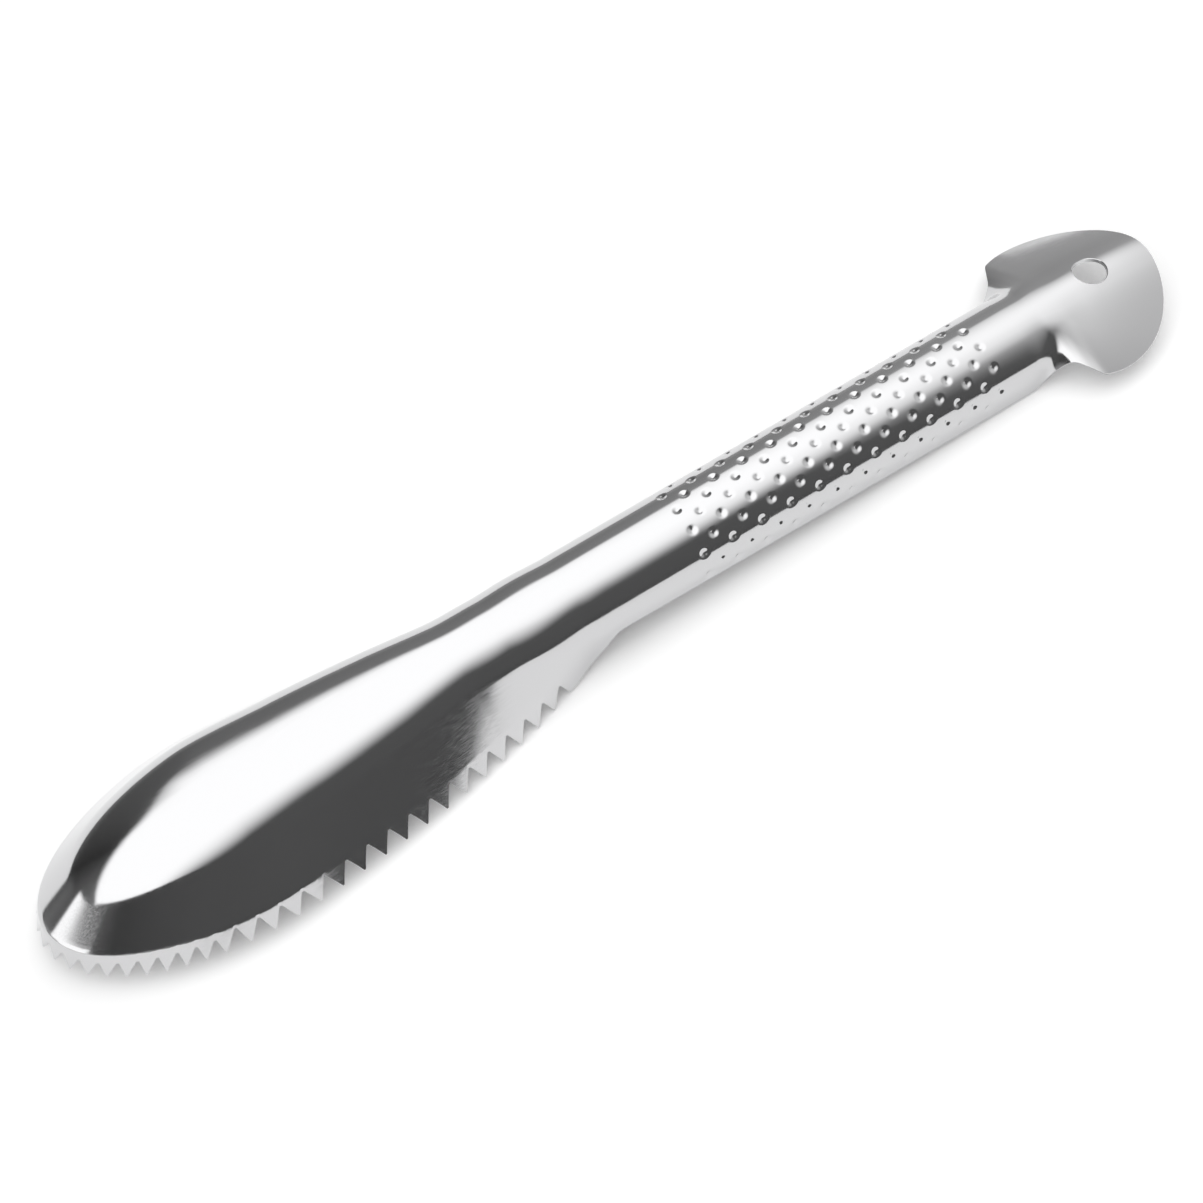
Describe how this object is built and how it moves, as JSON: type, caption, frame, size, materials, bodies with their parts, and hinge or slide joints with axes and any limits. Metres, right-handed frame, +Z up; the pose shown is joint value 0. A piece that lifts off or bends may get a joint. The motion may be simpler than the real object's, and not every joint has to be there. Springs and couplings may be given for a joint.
{
  "type": "fish scaler",
  "caption": "Pressed steel fish scaler: a domed head with a serrated rim, a dented channel grip and an arched round end with a hanging hole.",
  "frame": {"origin": "middle of the box, on the plane that the rim rests on", "axes": "+X from the head towards the round end, +Z up through the convex side"},
  "size_m": [0.2282, 0.04, 0.0186],
  "materials": {
    "stainless_steel": "polished stainless steel"
  },
  "bodies": {
    "root": {"scaler_body": "stainless_steel"}
  },
  "joints": []
}
